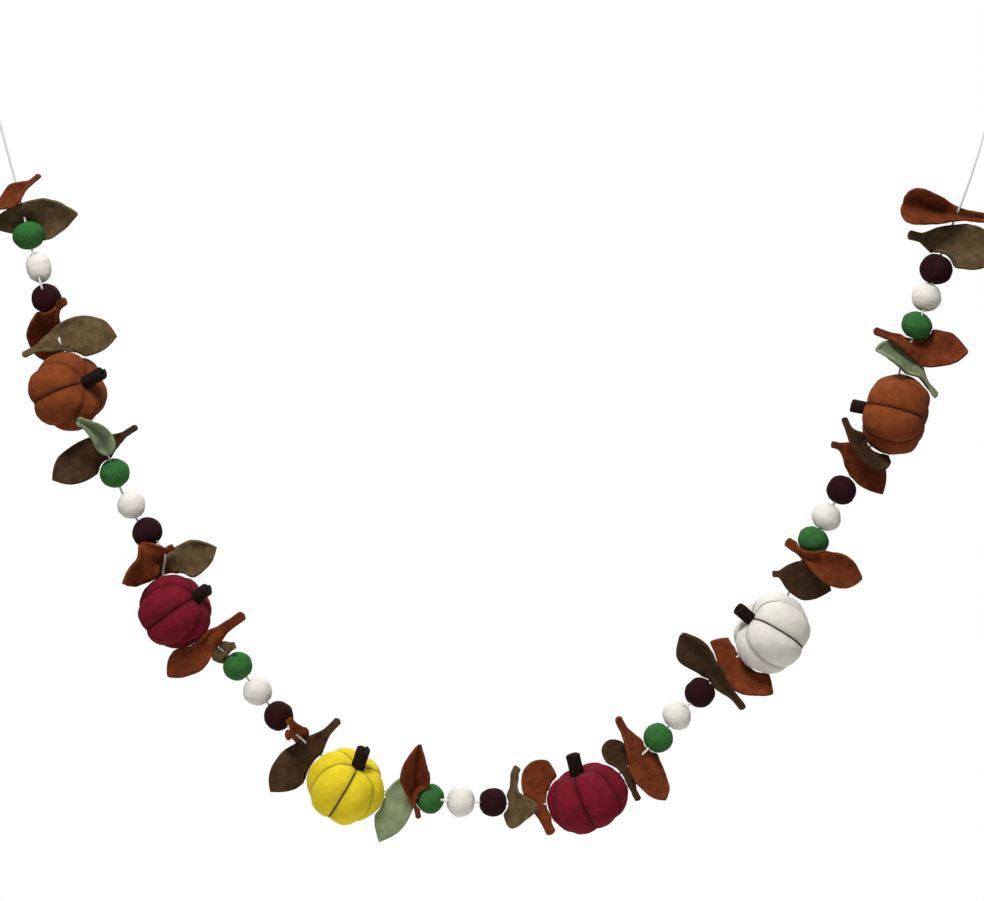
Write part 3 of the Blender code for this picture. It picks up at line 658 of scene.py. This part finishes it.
def ball_shell(number, ball, path, lump):
    """A wound and felted ball. A unit sphere is made uneven by products of sines, scaled to the
    ball's width along and across the string and turned to lie along it; then come finer lumps, two
    shallow folds along great circles and a dimple where the string goes in and comes out. Where
    two balls press on each other, both are flattened."""
    down = np.linspace(0.0, math.pi, 50)[:, None]
    turn = np.linspace(0.0, 2 * math.pi, 72, endpoint=False)[None, :]
    x, y, z = np.sin(down) * np.cos(turn), np.sin(down) * np.sin(turn), np.cos(down) + 0 * turn
    uneven = np.sin(3 * x + number) * np.cos(2 * y - number) + np.sin(4 * z + 2 * number)
    half = BALL_WIDTH / 2 * (1 + lump / 2 * uneven)[..., None]
    local = np.stack([x * ball.across, y * ball.across, z * ball.along], axis=-1) * half
    centre = np.array((ball.x, 0.0, ball.z))
    apart = np.linalg.norm(path - centre, axis=1)
    near = int(apart.argmin())
    turn_to = np.array(Vector(path[near + 15] - path[near - 15]).to_track_quat("Z", "Y").to_matrix())
    outside = np.flatnonzero(apart > BALL_WIDTH / 2 * ball.along)
    exits = unit(path[[outside[outside < near][-1], outside[outside > near][0]]] - centre)
    points = local @ turn_to.T
    ways = unit(points)
    dimple = np.exp(-(1 - ways @ exits.T) / 0.03).sum(axis=-1)
    random = np.random.default_rng(number)
    folds = unit(random.normal(size=(2, 3)))
    across = ways @ folds.T + 0.12 * lumps(ways, 1.5, number)[..., None]
    shown = 0.5 + 0.5 * np.tanh(4 * (ways @ unit(random.normal(size=(2, 3))).T - 0.2))
    fold = (np.exp(-((across / 0.05) ** 2)) * shown).sum(axis=-1)
    fine = 0.16 * lumps(points, 9.0, number) + 0.07 * lumps(points, 3.5, number + 50)
    points = points + ways * (fine - DIMPLE_DEPTH * dimple - FOLD_DEPTH * fold)[..., None]
    for other in BALLS:
        apart = np.array((other.x, 0.0, other.z)) - centre
        if 0.0 < np.linalg.norm(apart) < 1.1 * BALL_WIDTH:
            limit = np.linalg.norm(apart) * ball.along / (ball.along + other.along) - 0.15
            over = np.maximum(points @ unit(apart) - limit, 0.0)
            points = points - over[..., None] * unit(apart)
    # The dimples and folds are painted darker as shade, through the shade attribute
    return globe_shell(points + centre, shade=np.clip(0.55 * dimple + 0.22 * fold, 0.0, 1.0))


class GARLAND_OT_balls(bpy.types.Operator):
    """Makes the twenty-one felted balls"""

    bl_idname = "garland.balls"
    bl_label = "Balls"

    def execute(self, context):
        path = string_path(0.6)
        lump = context.scene.garland_sizes.lump
        for number, ball in enumerate(BALLS, 1):
            shell = ball_shell(number, ball, path, lump)
            wool = BALL_FELTS[(number - 1) % len(BALL_FELTS)]
            name = f"ball_{number:02d}_{wool}"
            make_piece("felt_" + name, [shell], [felt(wool)], [name])
        return {"FINISHED"}


# Pumpkins and stems


def frame_along(heading, lean):
    """A turn that points +Z the given way: degrees up from +X on the picture, and degrees of lean
    towards the viewer."""
    heading, lean = math.radians(heading), math.radians(lean)
    flat = math.cos(lean)
    way = Vector((math.cos(heading) * flat, -math.sin(lean), math.sin(heading) * flat))
    return way.to_track_quat("Z", "Y").to_matrix()


def pumpkin_turn(pumpkin):
    spin = Matrix.Rotation(math.radians(pumpkin.spin), 3, "Z")
    return np.array(frame_along(pumpkin.heading, pumpkin.lean) @ spin)


def pumpkin_surface(pumpkin, down, turn, crease):
    """A flattened ball with a dip at each end: its height is the half height times a cosine, less two
    bell curves at the poles. Its radius, a power of a sine, is drawn in along six creases, as a thread
    pulled tight round a stuffed ball does. Near the dips the felt gathers into small radial folds."""
    bells = np.exp(-((down / PUMPKIN_DIP_REACH) ** 2))
    bells = bells + np.exp(-(((math.pi - down) / PUMPKIN_DIP_REACH) ** 2))
    lobe = (np.sin(turn * PUMPKIN_LOBES / 2) ** 2 + 0.002) ** 0.3
    pull = 1 - crease * (1 - lobe) * np.sin(down) ** 0.5
    flat = pumpkin.radius * np.sin(down) ** 0.85 * pull
    height = pumpkin.half_height * np.cos(down) * (1 - PUMPKIN_DIP * bells) * pull**0.5
    gather = np.sin(GATHERS * turn + 2 * np.sin(3 * turn + pumpkin.spin)) * bells * np.sin(down)
    flat = flat + GATHER_DEPTH * gather
    return np.stack([flat * np.cos(turn), flat * np.sin(turn), height], axis=-1)


def place_on(points, pumpkin):
    """Points turned with the pumpkin and moved to its middle."""
    return points @ pumpkin_turn(pumpkin).T + np.array((pumpkin.x, 0.0, pumpkin.z))


def swollen(points, number, pumpkin, rise=0.0):
    """Points of a pumpkin moved out from its middle by its coarse and fine lumps and by a rise."""
    (coarse, wide), (fine, narrow) = COARSE_LUMPS, FINE_LUMPS
    swell = coarse * lumps(points, wide, number) + fine * lumps(points, narrow, number + 30)
    return points * (1 + (swell[..., None] + rise) / pumpkin.radius)


def pumpkin_shells(number, pumpkin, crease, thread):
    """The stuffed ball with its lumps, and the threads that show in its creases. The crease that faces
    the front most has its thread laid double. The others have sunk in more or less, and show on the
    pale felts alone."""
    down = np.linspace(0.0, math.pi, 90)[:, None]
    turn = np.linspace(0.0, 2 * math.pi, 216, endpoint=False)[None, :]
    down, turn = np.broadcast_arrays(down, turn)
    body = pumpkin_surface(pumpkin, down, turn, crease)
    body = place_on(swollen(body, number, pumpkin), pumpkin)
    off = np.abs(np.sin(turn * PUMPKIN_LOBES / 2)) * pumpkin.radius / 3 * np.sin(down)
    pale = pumpkin.felt in PALE_FELTS
    # Painted shade along the creases: a dark core and a wider, weaker band, weaker still on the pale felts
    shade = 0.5 * np.exp(-((off / 0.9) ** 2))
    shade = shade + (0.1 if pale else 0.35) * np.exp(-((off / 3.0) ** 2))
    shells = [globe_shell(body, shade=np.clip(shade, 0.0, 1.0))]
    steps = np.linspace(0.16, math.pi - 0.16, 100)
    turns = 2 * math.pi * np.arange(PUMPKIN_LOBES) / PUMPKIN_LOBES
    faced = np.stack([np.cos(turns), np.sin(turns), 0 * turns], axis=1) @ pumpkin_turn(pumpkin).T
    for k, at in enumerate(turns):
        angle = np.full_like(steps, at)
        in_front = k == faced[:, 1].argmin()
        if not (in_front or pale):
            continue
        line = pumpkin_surface(pumpkin, steps, angle, crease)
        if in_front:
            wide, rise = thread * FRONT_THREAD, thread * FRONT_THREAD_RISE[pumpkin.felt]
        else:
            wide, rise = thread, thread * 0.35 * (lumps(line, 30.0, k)[:, None] - 1)
        line = place_on(swollen(line, number, pumpkin, rise), pumpkin)
        across = pumpkin_turn(pumpkin) @ np.array((-math.sin(at), math.cos(at), 0.0))
        shells.append(strand_shell(line, wide, 2.2 * thread, across, 1, strands=2, around=8))
    return shells


def rolled_stem_shell(number, pumpkin):
    """A strip of felt rolled up tight and sewn on: a band whose middle follows a spiral, from the
    core to the outside, and whose section is a rounded upright oblong. Its upper edge is cut a little
    unevenly, so that the turns of the roll show on the end."""
    angle = np.linspace(0.0, 2 * math.pi * STEM_TURNS, 130)
    radius = STEM_CORE + (STEM_RADIUS - STEM_STRIP / 2 - STEM_CORE) * angle / angle[-1]
    long = pumpkin.stem_length + STEM_SUNK
    corner = np.linspace(0.0, 2 * math.pi, 20, endpoint=False)
    out = STEM_STRIP / 2 * 0.98 * np.sign(np.cos(corner)) * np.abs(np.cos(corner)) ** 0.5
    high = long / 2 * np.sign(np.sin(corner)) * np.abs(np.sin(corner)) ** 0.12 + long / 2
    ends = rounded(np.minimum(angle, angle[-1] - angle) * radius, 1.0)[:, None]
    reach = radius[:, None] + out * np.maximum(ends, 0.05)
    high = high + 0.3 * np.sin(1.3 * angle + number)[:, None] * (high / long) ** 4
    reach = reach * (1 + 0.05 * (high / long) ** 3 + 0.06 * (1 - high / long) ** 3)
    local = np.stack([reach * np.cos(angle)[:, None], reach * np.sin(angle)[:, None], high], axis=-1)
    local = local + 0.1 * lumps(local, 5.0, number)[..., None]
    turn_to = np.array(frame_along(pumpkin.stem_heading, pumpkin.stem_lean))
    seat = pumpkin_turn(pumpkin)[:, 2] * (pumpkin.half_height * (1 - PUMPKIN_DIP) - STEM_SUNK)
    foot = np.array((pumpkin.x, 0.0, pumpkin.z)) + seat
    # Painted shade: the sides of the strip that face the next turn are painted darker, except on the outermost
    # turn
    side = np.abs(np.cos(corner))[None, :] ** 4 * np.ones_like(reach)
    side = side * (angle < angle[-1] - 2 * math.pi)[:, None]
    return ring_shell(local @ turn_to.T + foot, shade=0.8 * side)


class GARLAND_OT_pumpkins(bpy.types.Operator):
    """Makes the six stuffed pumpkins, with the threads in their creases"""

    bl_idname = "garland.pumpkins"
    bl_label = "Pumpkins"

    def execute(self, context):
        sizes = context.scene.garland_sizes
        colours = context.scene.garland_colours
        # The dark red thread is near black, so that it also stands for the painted shade in the front crease
        # of the rust and raspberry pumpkins
        brown, red = (
            twisted_cotton("stranded cotton thread " + name, tone, sizes.thread_width, 0.5)
            for name, tone in (("brown", colours.thread), ("dark red", colours.red_thread_and_shade))
        )
        for number, pumpkin in enumerate(PUMPKINS, 1):
            name = f"pumpkin_{number}_{pumpkin.felt}"
            shells = pumpkin_shells(number, pumpkin, sizes.crease, sizes.thread_width / MM)
            finishes = [felt(pumpkin.felt), brown if pumpkin.felt in PALE_FELTS else red]
            piece = make_piece("felt_" + name, shells, finishes, [name])
        return {"FINISHED"}


class GARLAND_OT_stems(bpy.types.Operator):
    """Makes the six rolled stems"""

    bl_idname = "garland.stems"
    bl_label = "Stems"

    def execute(self, context):
        for number, pumpkin in enumerate(PUMPKINS, 1):
            joined = number in JOINED_STEMS
            node = f"pumpkin_{number}_{pumpkin.felt}" if joined else f"stem_{number}"
            shell = rolled_stem_shell(number, pumpkin)
            make_piece(f"rolled_stem_{number}", [shell], [felt("bark")], [node])
        return {"FINISHED"}


# Leaves


def leaf_half_width(share, base, point):
    """How wide the blade is each side of its midrib, as a share of its largest half width. It swells
    from the petiole with a power a third above base and draws in to its tip with the power point,
    and more sharply still close to it."""
    blade = np.clip((share - PETIOLE_SHARE) / (1 - PETIOLE_SHARE), 0.0, 1.0)
    base = base + 0.35
    widest = base / (base + point)
    sharp = (1 - np.exp(-(1 - blade) / 0.08)) ** (0.7 * point)
    return sharp * blade**base * (1 - blade) ** point / (widest**base * (1 - widest) ** point)


def creased(angle):
    """A wave whose slopes are nearly straight and whose turns are tight, as in felt that has been
    creased: the angle whose sine is nine tenths of the wave's sine, scaled to lie within -1 and 1."""
    return np.arcsin(0.9 * np.sin(angle)) / math.asin(0.9)


def leaf_surface(leaf, share, across):
    """The felt's middle surface, and how far the blade reaches to each side. The midrib is a parabola
    through the petiole's end, the blade's middle and the tip. At each step the blade reaches sideways
    by its half width, turned about the midrib by the roll and folded up on both sides by the fold.
    The cup lifts it as the square of the way to its edge, and the ripple adds creased waves that run
    slantwise along it and grow towards the edges. Petiole and blade join softly, as the root of the
    sum of their squares."""
    stem, middle, tip = (np.array(place, float) for place in (leaf.stem, leaf.middle, leaf.tip))
    at = MIDDLE_SHARE
    pull = (middle - (1 - at) ** 2 * stem - at**2 * tip) / (2 * at * (1 - at))
    share = share[:, None]
    midrib = (1 - share) ** 2 * stem + 2 * share * (1 - share) * pull + share**2 * tip
    along = unit(2 * (1 - share) * (pull - stem) + 2 * share * (tip - pull))
    right = unit(np.cross(along, (0.0, -1.0, 0.0)))
    roll, fold = math.radians(leaf.roll), math.radians(leaf.fold)
    side = right * math.cos(roll) + np.cross(right, along) * math.sin(roll)
    up = np.cross(side, along)
    reach = leaf_half_width(share, leaf.base, leaf.point) * leaf.width / 2
    petiole = leaf.petiole * np.clip((1 - share) / 0.25, 0.0, 1.0) ** 0.5
    reach = np.maximum(np.hypot(reach, petiole), 0.4)
    number = LEAVES.index(leaf)
    reach = reach * (1 + 0.015 * lumps(midrib, 16.0, number)[:, None])
    reach = reach * np.sqrt(np.clip(share / 0.02, 0.1, 1.0))
    across = across[None, :, None]
    rise = np.sqrt(across**2 + 0.06) - math.sqrt(0.06)
    width = reach[:, None] * across * math.cos(fold)
    lift = reach[:, None] * (rise * math.sin(fold) + leaf.cup * across**2)
    blade = np.clip((share - PETIOLE_SHARE) / (1 - PETIOLE_SHARE), 0.0, 1.0)[:, None]
    high, long, slant = SWAY
    wave = high * across * creased(long * share[:, None] + slant * across + number)
    high, long, slant = FLAP
    wave = wave + high * across**2 * creased(long * share[:, None] + slant * across + 2.3 * number)
    lift = lift + leaf.ripple * np.sin(math.pi * blade) ** 0.7 * wave
    return midrib[:, None] + side[:, None] * width + up[:, None] * lift, reach


def pushed_clear(points, half, centre, radii, turn, power):
    """Points inside the egg shape are moved straight out to its surface, so that a leaf bends round
    what it meets. Half the felt's thickness is added to the egg where the felt lies flat on it, and
    less the more the felt stands on edge. The egg is round about its axis, and the power by which its
    radius and height are added up makes it fuller than an ellipsoid."""
    normal = unit(np.cross(np.gradient(points, axis=0), np.gradient(points, axis=1)))
    flat = np.abs((normal * unit(points - centre)).sum(axis=-1, keepdims=True))
    radii = radii + half * flat
    local = (points - centre) @ turn / radii
    wide = np.hypot(local[..., 0], local[..., 1]) ** power
    far = ((wide + np.abs(local[..., 2]) ** power) ** (1 / power))[..., None]
    return (local / np.maximum(far, 1e-6) * np.maximum(far, 1.0) * radii) @ turn.T + centre


def leaf_neighbours():
    """The balls and pumpkins as egg shapes, with a gap added."""
    found = []
    for ball in BALLS:
        half = BALL_WIDTH / 2 * max(ball.along, ball.across) * 1.03 + BALL_GAP
        found.append((np.array((ball.x, 0.0, ball.z)), np.full(3, half), np.eye(3), 2.0))
    for pumpkin in PUMPKINS:
        radii = np.array((pumpkin.radius, pumpkin.radius, pumpkin.half_height)) + PUMPKIN_GAP
        centre = np.array((pumpkin.x, 0.0, pumpkin.z))
        found.append((centre, radii, pumpkin_turn(pumpkin), PUMPKIN_FULLNESS))
    return found


def leaf_shell(number, leaf, thickness, wave, neighbours):
    """The cut leaf as a closed shell round its middle surface: each ring goes along the upper side and
    back along the lower one, half the felt's thickness off, with all edges rounded as a quarter
    circle. Slow waves lift it along its normal. Its hollow side is painted darker as shade along the
    valley of the fold or cup, and its rounded edges a little darker, also as painted shade. Also gives
    the cut's flat length and area."""
    share = (1 - np.cos(np.linspace(0.0, math.pi, 65))) / 2
    across = -np.cos(np.linspace(0.0, math.pi, 21))
    middle, reach = leaf_surface(leaf, share, across)
    for neighbour in neighbours:
        middle = pushed_clear(middle, thickness / 2, *neighbour)
    normal = unit(np.cross(np.gradient(middle, axis=0), np.gradient(middle, axis=1)))
    lift = wave * lumps(middle, 26.0, number + 7) + 0.4 * wave * lumps(middle, 8.0, number + 90)
    middle = middle + normal * lift[..., None]
    far = distance_along(middle[:, 10])
    ends = rounded(np.minimum(far, far[-1] - far), 0.9)[:, None]
    edges = rounded(reach * (1 - np.abs(across))[None, :], 0.9)
    half = thickness / 2 * ends * edges
    upper, lower = middle + normal * half[..., None], middle - normal * half[..., None]
    rings = np.concatenate([upper, lower[:, -2:0:-1]], axis=1)
    # Painted shade: the rounded edges a little darker, and the hollow side darker along the valley of the fold
    # and cup
    rim = 0.12 * (1 - edges * ends) ** 2
    valley = leaf.fold / 45 * np.exp(-((reach * across / 3.0) ** 2))
    valley = np.minimum(valley + 0.9 * leaf.cup * np.exp(-((across / 0.55) ** 2)), 1.0)
    shade = np.concatenate([rim, np.maximum(rim, valley)[:, -2:0:-1]], axis=1)
    area = float(np.trapz(2 * reach[:, 0], far))
    return ring_shell(rings, shade=shade), float(far[-1]), area


class GARLAND_OT_leaves(bpy.types.Operator):
    """Makes the twenty-eight cut leaves"""

    bl_idname = "garland.leaves"
    bl_label = "Leaves"

    def execute(self, context):
        sizes = context.scene.garland_sizes
        thickness, wave = sizes.felt / MM, sizes.wave / MM
        neighbours = leaf_neighbours()
        for number, leaf in enumerate(LEAVES, 1):
            shell, long, area = leaf_shell(number, leaf, thickness, wave, neighbours)
            # Rust leaves take the darker copy of the rust felt, as painted shade
            finish = felt("deep_rust" if leaf.felt == "rust" else leaf.felt)
            name = f"leaf_{number:02d}_{leaf.felt}"
            piece = make_piece("cut_" + name, [shell], [finish], [name])
        return {"FINISHED"}


# The stage


def add_light(name, place, aim, size, power):
    """A soft square lamp that isn't seen itself, turned to face its aim."""
    lamp = bpy.data.lights.new(name, "AREA")
    lamp.size, lamp.energy = size, power
    light = bpy.data.objects.new(name, lamp)
    light.location = place
    light.rotation_euler = (Vector(aim) - Vector(place)).to_track_quat("-Z", "Y").to_euler()
    light.visible_camera = False
    bpy.context.scene.collection.objects.link(light)


def studio_world():
    """White all round for the eye, and as light a soft dome, bright above and dim below."""
    world = bpy.data.worlds.new("soft white studio")
    world.use_nodes = True
    tree = world.node_tree
    tree.nodes.clear()
    way = add_node(tree, "TexCoord").outputs["Generated"]
    height = add_node(tree, "SeparateXYZ", {}, {0: way}).outputs[2]
    bright = ranged(tree, height, -0.3, 0.9, 0.03, 0.5)
    dome = add_node(tree, "Background", {}, {0: (1.0, 1.0, 1.0, 1.0), 1: bright}).outputs[0]
    seen = add_node(tree, "Background", {}, {0: (1.0, 1.0, 1.0, 1.0), 1: 1.0}).outputs[0]
    eye = add_node(tree, "LightPath").outputs["Is Camera Ray"]
    both = add_node(tree, "MixShader", {}, {0: eye, 1: dome, 2: seen}).outputs[0]
    add_node(tree, "OutputWorld", {}, {0: both})
    bpy.context.scene.world = world


class GARLAND_OT_stage(bpy.types.Operator):
    """Makes the camera, the floor and the light"""

    bl_idname = "garland.stage"
    bl_label = "Stage"

    def execute(self, context):
        scene = context.scene
        scene.view_settings.view_transform = "Standard"
        x, z = PHOTO_MIDDLE[0] * MM, PHOTO_MIDDLE[1] * MM
        camera = bpy.data.objects.new("camera", bpy.data.cameras.new("camera"))
        camera.location = (x, -CAMERA_AWAY, z)
        camera.rotation_euler = (math.pi / 2, 0.0, 0.0)
        camera.data.sensor_width = SENSOR
        camera.data.lens = SENSOR * CAMERA_AWAY / (PHOTO_WIDTH * PIXEL * MM)
        scene.collection.objects.link(camera)
        scene.camera = camera
        mesh = bpy.data.meshes.new("floor")
        left, right, front, back, low = x - 1.0, x + 1.0, -0.8, 0.8, -0.85
        corners = [(left, front, low), (right, front, low), (right, back, low), (left, back, low)]
        mesh.from_pydata(corners, [], [(0, 1, 2, 3)])
        mesh.materials.append(matt_paint("matt emulsion pale grey", scene.garland_colours.floor))
        floor = bpy.data.objects.new("floor", mesh)
        scene.collection.objects.link(floor)
        studio_world()
        add_light("key light", (x - 0.5, -1.7, 2.0), (x, 0.0, z), 0.7, 68.0)
        add_light("back light", (x + 0.6, 2.0, 1.4), (x, 0.0, z), 0.9, 22.0)
        return {"FINISHED"}


# The add-on


class GARLAND_PT_panel(bpy.types.Panel):
    """The garland's sizes, colours and makers"""

    bl_idname = "GARLAND_PT_panel"
    bl_label = "Felt pumpkin garland"
    bl_space_type = "VIEW_3D"
    bl_region_type = "UI"
    bl_category = "Garland"

    def draw(self, context):
        for group in (context.scene.garland_sizes, context.scene.garland_colours):
            box = self.layout.box()
            for name in group.bl_rna.properties.keys():
                if name not in ("rna_type", "name"):
                    box.prop(group, name)
        for maker in MAKERS:
            self.layout.operator(maker.bl_idname)


MAKERS = (
    GARLAND_OT_stage,
    GARLAND_OT_string,
    GARLAND_OT_balls,
    GARLAND_OT_pumpkins,
    GARLAND_OT_stems,
    GARLAND_OT_leaves,
)
CLASSES = (GarlandColours, GarlandSizes, *MAKERS, GARLAND_PT_panel)


def register():
    for kind in CLASSES:
        bpy.utils.register_class(kind)
    bpy.types.Scene.garland_colours = bpy.props.PointerProperty(type=GarlandColours)
    bpy.types.Scene.garland_sizes = bpy.props.PointerProperty(type=GarlandSizes)


def unregister():
    del bpy.types.Scene.garland_sizes
    del bpy.types.Scene.garland_colours
    for kind in reversed(CLASSES):
        bpy.utils.unregister_class(kind)


def main():
    register()
    bpy.ops.garland.stage()
    bpy.ops.garland.string()
    bpy.ops.garland.balls()
    bpy.ops.garland.pumpkins()
    bpy.ops.garland.stems()
    bpy.ops.garland.leaves()


if __name__ == "__main__":
    main()
